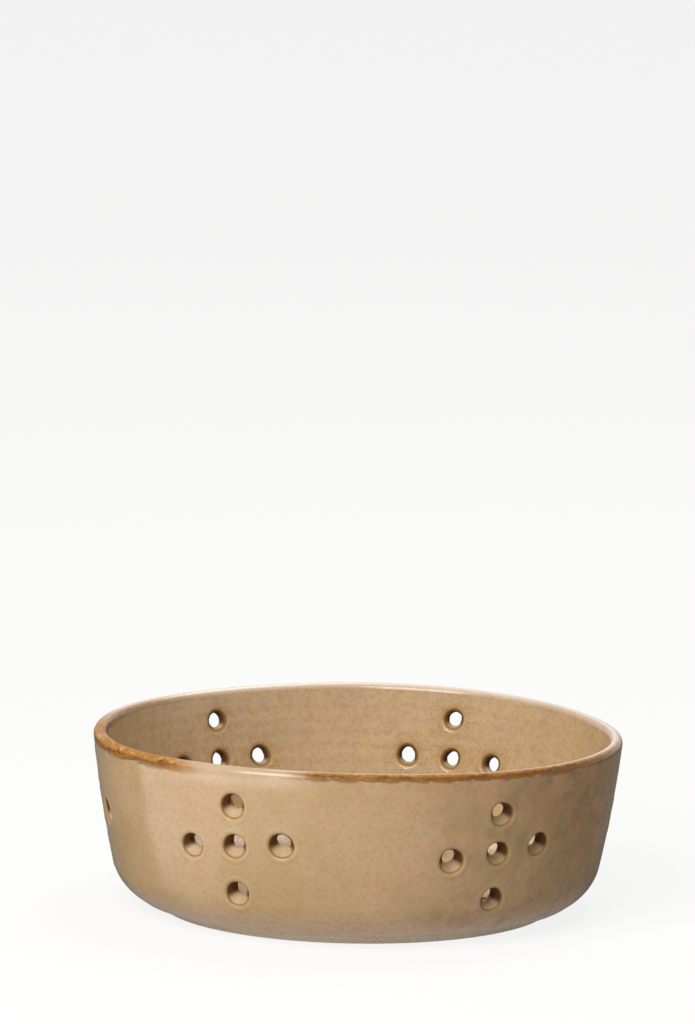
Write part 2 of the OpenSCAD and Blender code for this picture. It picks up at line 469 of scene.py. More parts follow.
@dataclass
class HolePattern:
    """Where the drain holes were punched, and how: two rings in the floor and six crosses in the wall."""

    shape: BowlShape
    bore_d: float = 6.3
    mouth_round: float = 0.8
    flare: float = 1.95
    flare_depth: float = 2.3
    flare_drag: float = 0.5
    flare_edge: float = 0.3
    flare_most: float = 1.5
    roll_height: float = 0.13
    roll_out: float = 0.8
    roll_width: float = 0.55
    waist: float = 0.85
    inner_flare: float = 1.35
    inner_depth: float = 1.2
    inner_most: float = 1.2
    outer_ring_inset: float = 11.8
    ring_gap: float = 22.7
    pattern_x: float = -2.0
    pattern_y: float = 2.0
    upper_drop: float = 11.0
    lower_rise: float = 9.6
    middle_share: float = 0.544
    side_step: float = 15.7
    hand_slip: float = 1.0
    out_of_round: float = 0.13
    # Limits of oval, dent and swelling, as shares of out_of_round
    faults: tuple[Pair, ...] = ((0.3, 1.0), (0.1, 0.7), (-0.5, 0.5))
    # The direction of each cross in degrees, and its rise and lean as shares of hand_slip
    cross_angles: tuple[float, ...] = (6.3, 66.2, 126.2, 182.3, 241.7, 303.2)
    cross_rises: tuple[float, ...] = (0, 0.8, 0.9, 0.5, -0.4, -1.7)
    cross_leans: tuple[float, ...] = (0, 0.2, -0.2, 0.3, 1.4, 1.4)
    # Rings of the floor: the first hole's direction in degrees, and the slips of all outwards and aside
    inner_start: float = 4.0
    inner_slips: tuple[Pair, ...] = (
        (1.2, 1), (0.8, -0.7), (-0.2, 0), (-0.9, 0), (-0.2, 0.3), (-0.5, -0.6))
    outer_start: float = 11.0
    outer_slips: tuple[Pair, ...] = (
        (0.3, 1.2), (-0.8, 1.7), (1.8, 0), (0.2, -1.2), (0.6, -2.4), (-1.6, 0.3), (-0.9, 1), (-0.5, 0))

    def floor_holes(self) -> list[Hole]:
        """Places the fifteen holes of the floor.

        Returns:
            The middle hole, the ring of six and the ring of eight.
        """
        shape = self.shape
        up, depth = np.array([0.0, 0.0, 1.0]), shape.floor_t + shape.glaze_t
        outer_r = shape.inner_corner[0] - self.outer_ring_inset
        spots = [(0.0, 0.0)]
        rings = [(outer_r - self.ring_gap, self.inner_start, self.inner_slips),
                 (outer_r, self.outer_start, self.outer_slips)]
        for radius, start, slips in rings:
            for i, slip in enumerate(slips):
                turn = radians(start + 360 * i / len(slips))
                out, aside = radius + self.hand_slip * slip[0], self.hand_slip * slip[1]
                spots.append((out * cos(turn) - aside * sin(turn),
                              out * sin(turn) + aside * cos(turn)))
        return [Hole(np.array([x + self.pattern_x, y + self.pattern_y, shape.floor_z]), up, depth, True)
                for x, y in spots]

    def wall_holes(self) -> list[Hole]:
        """Places the thirty holes of the wall, each square to the wall.

        Returns:
            Six crosses of five holes.
        """
        shape = self.shape
        upper, lower = shape.bowl_h - self.upper_drop, shape.floor_z + self.lower_rise
        middle = lower + self.middle_share * (upper - lower)
        cross = [(0, middle, 0), (0, upper, 0), (0, lower, 0),
                 (self.side_step, middle, 1), (-self.side_step, middle, -1)]
        holes = []
        for angle, rise, tilt in zip(self.cross_angles, self.cross_rises, self.cross_leans):
            for round_wall, level, lift in cross:
                z = level + self.hand_slip * (rise + lift * tilt)
                around = radians(angle) + round_wall / shape.outer_at(z)
                r = shape.outer_at(z) + shape.share_at(z) * shape.pull_at(around)
                flat, down = polar(1.0, shape.lean_at(z))
                place = np.array([*polar(r, around), z + shape.share_at(z) * shape.wave_at(around)])
                axis = np.array([*polar(flat, around), -down])
                holes.append(Hole(place, axis, shape.depth_at(z), False))
        return holes

    def punched(self) -> list[Hole]:
        """Gathers all holes and gives each the slight faults of a hand punch.

        Returns:
            The forty-five holes.
        """
        chance = np.random.default_rng(SEED)
        holes = self.floor_holes() + self.wall_holes()
        for hole in holes:
            oval, dent, swell = [self.out_of_round * chance.uniform(*limits) for limits in self.faults]
            turns = chance.uniform(0, 2 * pi, 2)
            hole.faults = (oval, turns[0], dent, turns[1], swell)
        return holes


@dataclass
class GlazedBowl:
    """The glazed ware: body, coats, lip and every hole as one closed skin."""

    shape: BowlShape
    pattern: HolePattern
    pitch: float = 0.72
    quick_pitch: float = 1.1
    most_faces: int = 190_000
    side_margin: float = 5.0
    margin: float = 3.0
    search: float = 9.0
    block: float = 10.0
    ring_rise: float = 4.6
    ring_height: float = 0.013
    ring_waver: float = 1.4
    ring_waver_mm: float = 7.0
    ring_sway: Pair = (9.0, 12.0)
    ring_fade: Pair = (54.5, 50.0)
    floor_ring: Pair = (1.25, 0.5)
    swell_count: int = 9
    swell_mm: Pair = (16.0, 46.0)
    swell_height: float = 0.11
    line_stray: float = 0.5
    # Waves of the glaze line: a count, a share and a turn in radians each
    line_waves: tuple[Triple, ...] = (
        (3, 0.5, 0.7), (7, 0.35, 2.1), (13, 0.3, 4.0), (23, 0.2, 1.3), (37, 0.12, 5.2))
    line_edge: Pair = (-0.15, 0.45)
    middle_edge: Pair = (-0.1, 0.6)
    roll_height: float = 0.24
    roll_rise: float = 0.9
    roll_width: float = 0.7
    # Where round the inside corner the milky pool and its painted highlight lie, in degrees
    pool_and_highlight_turn: float = -48.0
    mark_reach: float = 20.0
    mark_depth: float = 4.0
    holes: list[Hole] = field(init=False)
    swells: Array = field(init=False)

    def __post_init__(self) -> None:
        """Punches the holes and draws the directions of the slow swells."""
        self.holes = self.pattern.punched()
        chance = np.random.default_rng(SEED + 1)
        lengths = chance.uniform(*self.swell_mm, self.swell_count)
        ways = chance.normal(size=(self.swell_count, 3))
        ways /= np.linalg.norm(ways, axis=1)[:, None]
        turns = chance.uniform(0, 2 * pi, self.swell_count)
        self.swells = np.column_stack([ways * (2 * pi / lengths)[:, None], turns])

    def relief(self, points: Array, r: Array, z: Array, angle: Array,
               region: Array) -> tuple[Array, Array]:
        """Finds how thick the glaze lies over the true skin, and where there is none.

        Args:
            points: Places in mm.
            r: Radii on the true bowl.
            z: Heights on the true bowl.
            angle: Directions.
            region: Numbers of the nearest regions.

        Returns:
            The height to add to the skin in mm, and a share of bare clay.
        """
        shape = self.shape
        slow = np.sin(points @ self.swells[:, :3].T + self.swells[:, 3]).mean(axis=1) * self.swell_height
        inside = (region == Region.INNER_WALL) | (region == Region.INNER_CORNER)
        waver = self.ring_waver * np.sin(z / self.ring_waver_mm)
        rings = np.sin(2 * pi * z / self.ring_rise + angle + waver + self.ring_sway[0] * slow)
        rings = rings * self.ring_height * smooth_step(*self.ring_fade, z)
        wider, weaker = self.floor_ring
        turned = np.sin(2 * pi * r / (self.ring_rise * wider) - angle + self.ring_sway[1] * slow)
        turned = np.where(region == Region.FLOOR, turned * self.ring_height * weaker, 0.0)
        height = slow + np.where(inside, rings, 0.0) + turned
        dr, dz = r - shape.corner[0], z - shape.corner[1]
        down = (np.arctan2(dz, dr) + asin(1 - shape.bare_h / shape.corner_r)) * shape.corner_r
        stray = sum(share * np.sin(count * angle + turn) for count, share, turn in self.line_waves)
        above = down - self.line_stray * stray
        corner = (region == Region.OUTER_CORNER) | (region == Region.OUTER_WALL)
        under = region == Region.UNDERSIDE
        first, last = [shape.foot_r - shape.foot_w + edge for edge in self.middle_edge]
        bare = np.where(corner, 1 - smooth_step(*self.line_edge, above), 0.0)
        bare = np.where(under, smooth_step(first, last, r), bare)
        roll = self.roll_height * np.exp(-((above - self.roll_rise) / self.roll_width) ** 2)
        return height - shape.glaze_t * bare + np.where(corner, roll, 0.0) - shape.clear, bare

    def bore(self, hole: Hole, points: Array) -> tuple[Array, Array, Array]:
        """Measures points from one hole's bore.

        Args:
            hole: The hole.
            points: Places in mm.

        Returns:
            How far each lies inside the bore (below zero outside it), its place along the axis, and
            how far it lies to the lower side (1 straight down the wall, -1 straight up).
        """
        pattern, away = self.pattern, points - hole.place
        along = away @ hole.axis
        u, v = away @ hole.across, away @ hole.along
        turn = np.arctan2(v, u)
        oval, oval_turn, dent, dent_turn, swell = hole.faults
        radius = pattern.bore_d / 2 + swell + oval * np.cos(2 * turn + oval_turn)
        radius = radius + dent * np.cos(3 * turn + dent_turn)
        if not hole.in_floor:
            inwards = np.clip(1 - (hole.depth + along) / pattern.inner_depth, 0, pattern.inner_most)
            radius = radius - pattern.waist + pattern.inner_flare * inwards
        off_axis = np.hypot(u, v)
        return radius - off_axis, along, v / np.maximum(off_axis, TINY)

    def carve(self, hole: Hole, skin: Array, bore: Array, along: Array, lower: Array) -> Array:
        """Takes a bore with worn mouths out of the ware; a wall hole is flared on its outer side.

        Args:
            hole: The hole.
            skin: Distances from the skin.
            bore: How far inside the bore each point lies.
            along: Places along the hole's axis.
            lower: How far each point lies to the lower side of the hole.

        Returns:
            The distances with the hole taken out.
        """
        pattern = self.pattern
        worn = np.full(bore.shape, pattern.mouth_round)
        if not hole.in_floor:
            outer = along > -hole.depth / 2
            drag = 1 + pattern.flare_drag * lower
            past = (bore + pattern.flare * drag + pattern.roll_out) / pattern.roll_width
            skin = skin - np.where(outer, pattern.roll_height * np.exp(-past ** 2), 0.0)
            depth = pattern.flare_depth * (0.5 + 0.5 * drag)
            bore = bore + pattern.flare * drag * np.clip(1 + along / depth, 0, pattern.flare_most)
            worn = np.where(outer, pattern.flare_edge, worn)
        edge = np.hypot(np.maximum(skin + worn, 0), np.maximum(bore + worn, 0))
        cut = np.minimum(-worn, np.maximum(skin, bore)) + edge
        return np.where(hole.near(along), cut, skin)

    def ware(self, points: Array, nearest: Array | None = None) -> Array:
        """Measures points from the skin of the finished ware.

        Args:
            points: Places in mm, one per row.
            nearest: Number of the hole nearest to each point, or None to leave the holes out.

        Returns:
            Distances, below zero in the ware.
        """
        r, z, angle = self.shape.unpulled(points)
        skin, region = self.shape.skin(r, z)
        skin = skin - self.relief(points, r, z, angle, region)[0]
        if nearest is None:
            return skin
        for number, hole in enumerate(self.holes):
            mine = np.nonzero(nearest == number)[0]
            skin[mine] = self.carve(hole, skin[mine], *self.bore(hole, points[mine]))
        return skin

    def nearest_holes(self, points: Array) -> Array:
        """Finds which hole lies nearest to each point.

        Args:
            points: Places in mm, one per row.

        Returns:
            Numbers of the holes, and -1 where none lies within reach.
        """
        best = np.full(len(points), self.search)
        nearest = np.full(len(points), -1, np.int16)
        for number, hole in enumerate(self.holes):
            gap = np.linalg.norm(points - hole.middle, axis=1)
            closer = gap < best
            best[closer] = gap[closer]
            nearest[closer] = number
        return nearest

    def slope(self, points: Array, nearest: Array, step: float = 0.04) -> Array:
        """Finds how the ware's field grows, by four readings round each point.

        Args:
            points: Places in mm, one per row.
            nearest: Number of the hole nearest to each point.
            step: How far off the readings are taken along each axis, in mm.

        Returns:
            The slope of the field at each point.
        """
        total = np.zeros_like(points)
        for way in np.array([[1, -1, -1], [-1, -1, 1], [-1, 1, -1], [1, 1, 1]], float):
            total += way * self.ware(points + way * step, nearest)[:, None]
        return total / (4 * step)

    def settled(self, points: Array, rounds: int) -> tuple[Array, Array]:
        """Moves points onto the skin.

        Args:
            points: Places in mm near the skin.
            rounds: How many times to move them.

        Returns:
            The places on the skin, and their outward directions.
        """
        nearest = self.nearest_holes(points)
        for _ in range(rounds):
            rise = self.slope(points, nearest)
            # Where the field hardly grows, the step is held short
            size = np.maximum(np.sum(rise * rise, axis=1), 0.25)
            move = self.ware(points, nearest)[:, None] * rise / size[:, None]
            points = points - np.clip(move, -self.pitch, self.pitch)
        rise = self.slope(points, nearest)
        return points, rise / np.maximum(np.linalg.norm(rise, axis=1), TINY)[:, None]

    def sampled(self, pitch: float) -> tuple[Array, Array]:
        """Reads the ware on a grid that holds the whole bowl.

        Args:
            pitch: Spacing of the grid in mm.

        Returns:
            The readings, and the place of the grid's first corner.
        """
        reach = self.shape.rim_r + self.side_margin
        flat = np.arange(-reach, reach, pitch)
        tall = np.arange(self.shape.foot_h - self.margin, self.shape.bowl_h + self.margin, pitch)
        readings = np.empty((len(flat), len(flat), len(tall)), np.float32)
        for i, x in enumerate(flat):
            y, z = np.meshgrid(flat, tall, indexing="ij")
            points = np.column_stack([np.full(y.size, x), y.ravel(), z.ravel()])
            readings[i] = self.ware(points).reshape(y.shape)
        start = np.array([flat[0], flat[0], tall[0]])
        for hole in self.holes:
            low = np.maximum(((hole.middle - self.block - start) / pitch).astype(int), 0)
            high = np.minimum(((hole.middle + self.block - start) / pitch).astype(int) + 2, readings.shape)
            block = tuple(slice(a, b) for a, b in zip(low, high))
            nodes = np.stack(np.mgrid[block], axis=-1)
            bore = self.bore(hole, nodes.reshape(-1, 3) * pitch + start)
            readings[block] = self.carve(hole, readings[block], *[b.reshape(nodes.shape[:3]) for b in bore])
        return readings, start

    def build(self, finish: bpy.types.Material) -> bpy.types.Object:
        """Draws the skin of the ware, and makes the glazed bowl as a piece of the scene.

        Args:
            finish: Its material.

        Returns:
            The piece.
        """
        pitch = self.pitch
        readings, start = self.sampled(pitch)
        points, faces = surface_nets(readings, start, pitch)
        points, _ = self.settled(points, 2)
        LOG.info("skin drawn with %d points", len(points))
        points, faces = thinned(points, faces, self.most_faces)
        points, outwards = self.settled(points, 2)
        mesh = bpy.data.meshes.new("glazed_bowl")
        mesh.from_pydata((points * MM).tolist(), [], faces)
        mesh.polygons.foreach_set("use_smooth", np.ones(len(mesh.polygons), bool))
        for name, values in self.marks(points).items():
            mark = mesh.attributes.new(name, "FLOAT", "POINT")
            mark.data.foreach_set("value", values.astype(np.float32))
        mesh.materials.append(finish)
        mesh.normals_split_custom_set_from_vertices(outwards.tolist())
        LOG.info("glazed_bowl: %d faces", len(mesh.polygons))
        return placed("glazed_bowl", mesh)

    def marks(self, points: Array) -> dict[str, Array]:
        """Marks each point with what the kiln did there, and where painted highlights and shade go.

        Args:
            points: Places on the skin in mm.

        Returns:
            By name: inner (1 in the bowl's inside), crest (mm from the crest of the lip), mouth (mm
            from a hole), sunk (mm down a hole), upper (1 on a hole's upper side, -1 on its lower),
            pool_and_highlight (mm from the milky pool and painted highlight of the inside corner), bare
            (share of bare clay).
        """
        shape = self.shape
        r, z, angle = shape.unpulled(points)
        skin, region = shape.skin(r, z)
        bare = self.relief(points, r, z, angle, region)[1]
        inner = (region > Region.LIP).astype(float)
        over = np.arctan2(z - shape.lip[1], r - shape.lip[0]) / pi
        inner = np.where(region == Region.LIP, np.clip(over, 0, 1), inner)
        crest = np.hypot(r - shape.lip[0], z - shape.bowl_h)
        low_r, low_z = polar(shape.inner_corner_r, radians(self.pool_and_highlight_turn), shape.inner_corner)
        pool_and_highlight = np.hypot(r - low_r, z - low_z)
        mouth, upper = np.full(len(points), self.mark_reach), np.ones(len(points))
        for hole in self.holes:
            bore, along, lower = self.bore(hole, points)
            nearer = hole.near(along) & (-bore < mouth)
            mouth[nearer] = -bore[nearer]
            upper[nearer] = 1.0 if hole.in_floor else -lower[nearer]
        return {"inner": inner, "crest": crest, "mouth": np.clip(mouth, 0, self.mark_reach),
                "sunk": np.clip(-skin, 0, self.mark_depth), "upper": upper, "pool_and_highlight": pool_and_highlight, "bare": bare}


def surface_nets(readings: Array, start: Array, pitch: float) -> tuple[Array, Faces]:
    """Draws the closed skin on which grid readings pass through zero.

    Args:
        readings: Field readings on a grid, below zero in the ware.
        start: Place of the first reading.
        pitch: Spacing of the grid.

    Returns:
        Points, and the faces between them, wound outwards.
    """
    solid = readings < 0
    corners = [np.array(c) for c in product((0, 1), repeat=3)]
    size = np.array(solid.shape) - 1
    count = np.zeros(size, np.uint8)
    for c in corners:
        count += solid[c[0]:c[0] + size[0], c[1]:c[1] + size[1], c[2]:c[2] + size[2]]
    mixed = (count > 0) & (count < 8)
    cells = np.argwhere(mixed)
    number = np.full(mixed.shape, -1, np.int32)
    number[mixed] = np.arange(len(cells))
    values = [readings[tuple((cells + c).T)].astype(float) for c in corners]
    total, met = np.zeros((len(cells), 3)), np.zeros(len(cells))
    for (a, at_a), (b, at_b) in combinations(zip(corners, values), 2):
        if np.abs(a - b).sum() == 1:
            crossed = (at_a < 0) != (at_b < 0)
            share = np.where(crossed, at_a / np.where(crossed, at_a - at_b, 1), 0)
            total += crossed[:, None] * (a + share[:, None] * (b - a))
            met += crossed
    points = start + pitch * (cells + total / met[:, None])
    faces = []
    for axis in range(3):
        u, v = np.eye(3, dtype=int)[(axis + 1) % 3], np.eye(3, dtype=int)[(axis + 2) % 3]
        before = np.take(solid, range(solid.shape[axis] - 1), axis=axis)
        after = np.take(solid, range(1, solid.shape[axis]), axis=axis)
        nodes = np.argwhere(before != after)
        quads = np.stack([number[tuple((nodes - shift).T)] for shift in (u + v, v, 0 * u, u)], axis=1)
        outwards = before[tuple(nodes.T)]
        faces.append(np.where(outwards[:, None], quads, quads[:, ::-1]))
    return points, [tuple(f) for f in np.concatenate(faces).tolist()]


def thinned(points: Array, faces: Faces, most: int) -> tuple[Array, Faces]:
    """Spares faces on the calm stretches and keeps them on lips and hole mouths.

    Args:
        points: Places in mm.
        faces: Faces between them.
        most: How many triangles to keep.

    Returns:
        The points and triangles that are left.
    """
    mesh = bpy.data.meshes.new("thinning")
    mesh.from_pydata(points.tolist(), [], faces)
    helper = placed("thinning", mesh)
    helper.modifiers.new("thin", "DECIMATE").ratio = min(1.0, most / (2 * len(faces)))
    result = helper.evaluated_get(bpy.context.evaluated_depsgraph_get()).to_mesh()
    kept = np.empty(3 * len(result.vertices))
    result.vertices.foreach_get("co", kept)
    left = [tuple(p.vertices) for p in result.polygons]
    helper.to_mesh_clear()
    bpy.data.objects.remove(helper)
    bpy.data.meshes.remove(mesh)
    return kept.reshape(-1, 3), left


@dataclass
class TurnedFoot:
    """The low foot of bare clay, turned with a narrow tool, in mm."""

    shape: BowlShape
    edge: float = 0.8
    steps: int = 320
    band_step: float = 0.35
    groove_height: float = 0.07
    fillet: float = 0.5

    def outline(self) -> list[Pair]:
        """Draws the foot's outline from its inner top, under the foot, to its outer top.

        Returns:
            Radii and heights in mm.
        """
        inner, outer, high = self.shape.foot_r - self.shape.foot_w, self.shape.foot_r, self.shape.foot_h
        corners = [(inner - self.fillet, high), (inner, high - self.fillet), (inner, self.edge)]
        for side, way, turns in ((inner, 1, np.linspace(0.3, pi / 2, 5)),
                                 (outer, -1, np.linspace(pi / 2, 0.0, 6))):
            corners += [(side + way * self.edge * (1 - cos(a)), self.edge * (1 - sin(a)))
                        for a in turns]
        corners += [(outer, high - self.fillet), (outer + self.fillet * 0.3, high - 0.3 * self.fillet),
                    (outer + self.fillet, high)]
        fine = []
        for first, last in zip(corners, corners[1:]):
            pieces = max(1, round(dist(first, last) / self.band_step))
            fine += [tuple(a + (b - a) * i / pieces for a, b in zip(first, last)) for i in range(pieces)]
        return fine + [corners[-1]]

    def build(self, finish: bpy.types.Material) -> bpy.types.Object:
        """Makes the foot as a piece of the scene.

        Args:
            finish: Its material.

        Returns:
            The piece.
        """
        chance = np.random.default_rng(SEED + 2)
        outline = self.outline()
        grooves = chance.uniform(-1, 0, len(outline)) * self.groove_height
        middle = self.shape.foot_r - self.shape.foot_w / 2
        mesh, rings = bmesh.new(), []
        for step in range(self.steps):
            angle = 2 * pi * step / self.steps
            ring = []
            for (r, z), groove in zip(outline, grooves):
                worn = groove * (1 + 0.5 * sin(5 * angle + z)) * min(1.0, z / self.edge)
                r += copysign(1.0, r - middle) * worn
                ring.append(mesh.verts.new((r * cos(angle) * MM, r * sin(angle) * MM, z * MM)))
            rings.append(ring)
        for this, after in zip(rings, rings[1:] + rings[:1]):
            for i in range(-len(outline), 0):
                mesh.faces.new((this[i], this[i + 1], after[i + 1], after[i]))
        bmesh.ops.recalc_face_normals(mesh, faces=mesh.faces)
        for face in mesh.faces:
            face.smooth = True
        data = bpy.data.meshes.new("turned_foot")
        mesh.to_mesh(data)
        mesh.free()
        data.materials.append(finish)
        LOG.info("turned_foot: %d faces", len(data.polygons))
        return placed("turned_foot", data)


@dataclass(frozen=True)
class BareStoneware:
    """Iron-bearing stoneware clay, turned and left unglazed: matt, grey-buff and gritty."""

    body: str = "#ECE0CE"
    toasted: str = "#E9D8BC"
    grit: str = "#8A7A66"
    roughness: float = 0.82
    grit_mm: float = 0.7
    cloud_mm: float = 14.0
    tooth_mm: float = 0.5
    tooth_height_mm: float = 0.08
    ior: float = 1.5

    def colour(self, tree: Tree, place: Source) -> Source:
        """Adds the clay's own colour: toasted clouds with dark grit.

        Args:
            tree: The node tree.
            place: Object coordinates.

        Returns:
            The colour.
        """
        cloud, grit = [add_node(tree, "TexNoise", {
            "Vector": place, "Scale": 1 / (size * MM), "Detail": detail})
            for size, detail in ((self.cloud_mm, 3.0), (self.grit_mm, 1.0))]
        return coated(tree, self.body, (self.toasted, cloud), (self.grit, (grit, Span(0.6, 0.72, 0.4))))

    def material(self) -> bpy.types.Material:
        """Builds the material of the foot.

        Returns:
            The material, whose dry tooth keeps the eye from seeing any gloss.
        """
        material = bpy.data.materials.new("bare_stoneware_turned")
        tree = emptied(material)
        place = add_node(tree, "TexCoord").outputs["Object"]
        tooth = add_node(tree, "TexNoise", {
            "Vector": place, "Scale": 1 / (self.tooth_mm * MM), "Detail": 3.0})
        bump = add_node(tree, "Bump", {
            "Strength": 0.6, "Distance": self.tooth_height_mm * MM, "Height": tooth})
        surface = add_node(tree, "BsdfPrincipled", {
            "Base Color": self.colour(tree, place), "Roughness": self.roughness, "IOR": self.ior,
            "Normal": bump})
        add_node(tree, "OutputMaterial", {"Surface": surface})
        return material


@dataclass(frozen=True)
class ReactiveGlaze:
    """Iron-bearing reactive glaze, dipped and fired: it breaks amber where thin and clouds in pools."""

    clay: BareStoneware
    outside: str = "#A1865C"
    outside_blush: str = "#AB8E69"
    outside_iron: str = "#967146"
    rose: str = "#B78A6A"
    olive: str = "#95844F"
    plum: str = "#7E6148"
    inside: str = "#B69A72"
    inside_floor: str = "#B39877"
    mauve: str = "#A38973"
    amber: str = "#93601F"
    amber_pale: str = "#BC8B4C"
    amber_deep: str = "#5C340D"
    halo: str = "#A67F48"
    # Painted shade in a thin ring round each hole's mouth
    ring: str = "#7F6237"
    # Painted shade down the bores, except along the lower side of the wall holes
    bore: str = "#4A2C12"
    # Milky glaze where it pools, and the colour of the painted highlights, reflection and sheen on the lip
    # and holes
    milk_and_highlight: str = "#DCCBB9"
    hem: str = "#C6A78F"
    speck: str = "#6B4B33"
    ior: float = 1.52
    gloss: float = 0.1
    satin: float = 0.4
    speck_mm: float = 0.5
    mottle_mm: float = 5.0
    patch_mm: float = 12.0
    fine_mm: float = 1.6
    drift_mm: float = 23.8
    cloud_mm: float = 34.0
    peel_mm: float = 2.4
    peel_height_mm: float = 0.05
    streak_mm: float = 6.0
    streak_flatness: float = 3.2
    halo_stray_mm: float = 7.0
    lip_stray_mm: float = 4.0

    def material(self) -> bpy.types.Material:
        """Builds the glaze, layer by layer as the kiln leaves it, with painted highlights, a painted
        reflection and painted shade among the layers.

        Returns:
            The material.
        """
        material = bpy.data.materials.new("stoneware_reactive_glaze_dipped")
        tree = emptied(material)
        place = add_node(tree, "TexCoord").outputs["Object"]
        inward, crest, mouth, sunk, upper, pool_and_highlight, bare = [
            add_node(tree, "Attribute", attribute_name=name).outputs["Fac"]
            for name in ("inner", "crest", "mouth", "sunk", "upper", "pool_and_highlight", "bare")]
        across, _, height = add_node(tree, "SeparateXYZ", {0: place}).outputs
        cloud, drift, patch, mottle, fine, specks, peel = [
            add_node(tree, "TexNoise", {
                "Vector": add_node(tree, "VectorMath", {
                    0: place, 1: (shift, shift * 0.7, -shift)}),
                "Scale": 1 / (size * MM), "Detail": detail, "Roughness": 0.55})
            for size, detail, shift in (
                (self.cloud_mm, 2.0, 0.0), (self.drift_mm, 3.0, 0.31), (self.patch_mm, 2.0, 0.8),
                (self.mottle_mm, 4.0, 0.12), (self.fine_mm, 3.0, 0.2), (self.speck_mm, 1.5, 0.47),
                (self.peel_mm, 2.0, 0.6))]
        # Streaks lie flatter than they are wide, as glaze creeps round a lip
        flat = add_node(tree, "VectorMath", {
            0: place, 1: (1.0, 1.0, self.streak_flatness)}, operation="MULTIPLY")
        streaks = add_node(tree, "TexNoise", {
            "Vector": flat, "Scale": 1 / (self.streak_mm * MM), "Detail": 4.0, "Roughness": 0.6})
        rightwards, forwards, leftwards = [
            add_node(tree, "VectorMath", {
                0: place, 1: way}, operation="DOT_PRODUCT").outputs["Value"]
            for way in ((1.0, -0.35, 0), (-0.35, -0.94, 0), (-0.9, -0.43, 0))]

        # Inside, outside and floor, and where the outside turns iron-brown
        inner = agreed(tree, (inward, Span(0.3, 0.8)))
        outer = agreed(tree, (inward, Span(0.8, 0.3)))
        floor = agreed(tree, (height, Span(0.016, 0.0085)), inward)
        right = (rightwards, Span(0.015, 0.055))
        iron, dense, ragged = [
            add_node(tree, "Math", {
                0: pattern, 1: stray, 2: measure}, operation="MULTIPLY_ADD")
            for pattern, stray, measure in (
                (drift, 1.2, agreed(tree, (rightwards, Span(0.02, 0.095, 0.8)))),
                (drift, 0.12, specks), (mottle, self.halo_stray_mm, mouth))]
        # The inside wall is more golden, and the floor is beige with mauve where the glaze lay still
        within = coated(tree, self.inside, (self.inside_floor, floor),
                        (self.mauve, (mottle, Span(0.42, 0.68, 0.4))))

        # At the lip the glaze breaks amber in streaks where it runs thin. It breaks less at the back, where
        # a painted reflection pales the lip, and less under the front of the lip, where a painted sheen
        # lies.
        # Only at the left does the amber run over the crest; elsewhere a painted highlight keeps the crest
        # pale between two bands.
        # Where the glaze lies thick at the front of the lip, with a painted sheen under it
        thick_and_sheen = agreed(tree, (across, Span(-0.062, -0.045)), (across, Span(-0.008, -0.024, 0.75)))
        left = agreed(tree, (leftwards, Span(0.045, 0.078)))
        # Less amber towards the back, where a painted reflection pales the lip
        warm_less_reflection = agreed(tree, (forwards, Span(-0.06, 0.045, 1.0, 0.12)), (cloud, Span(0.3, 0.6, 0.85, 1.0)))
        amber_less_reflection = agreed(tree, warm_less_reflection, (thick_and_sheen, Span(0.0, 1.0, 0.0, 1.0)))
        reach = crest
        for pattern, stray in ((streaks, self.lip_stray_mm), (left, -0.9)):
            reach = add_node(tree, "Math", {
                0: pattern, 1: stray, 2: reach}, operation="MULTIPLY_ADD")
        bands = add_node(tree, "Math", {
            0: agreed(tree, (inward, Span(0.6, 0.36))),
            1: agreed(tree, (inward, Span(0.58, 0.72, 0.85)))}, operation="ADD")
        thin = agreed(tree, (reach, Span(5.6, 3.9)), amber_less_reflection, either(tree, bands, left))
        broken = coated(tree, self.amber,
                        (self.amber_pale, (fine, Span(0.46, 0.6)), (streaks, Span(0.4, 0.6))))
        # Painted shade down the bores, except along the lower side of the wall holes
        painted_bore_shade = agreed(tree, (sunk, Span(0.25, 1.0, 0.95)), (upper, Span(-0.85, -0.3)))

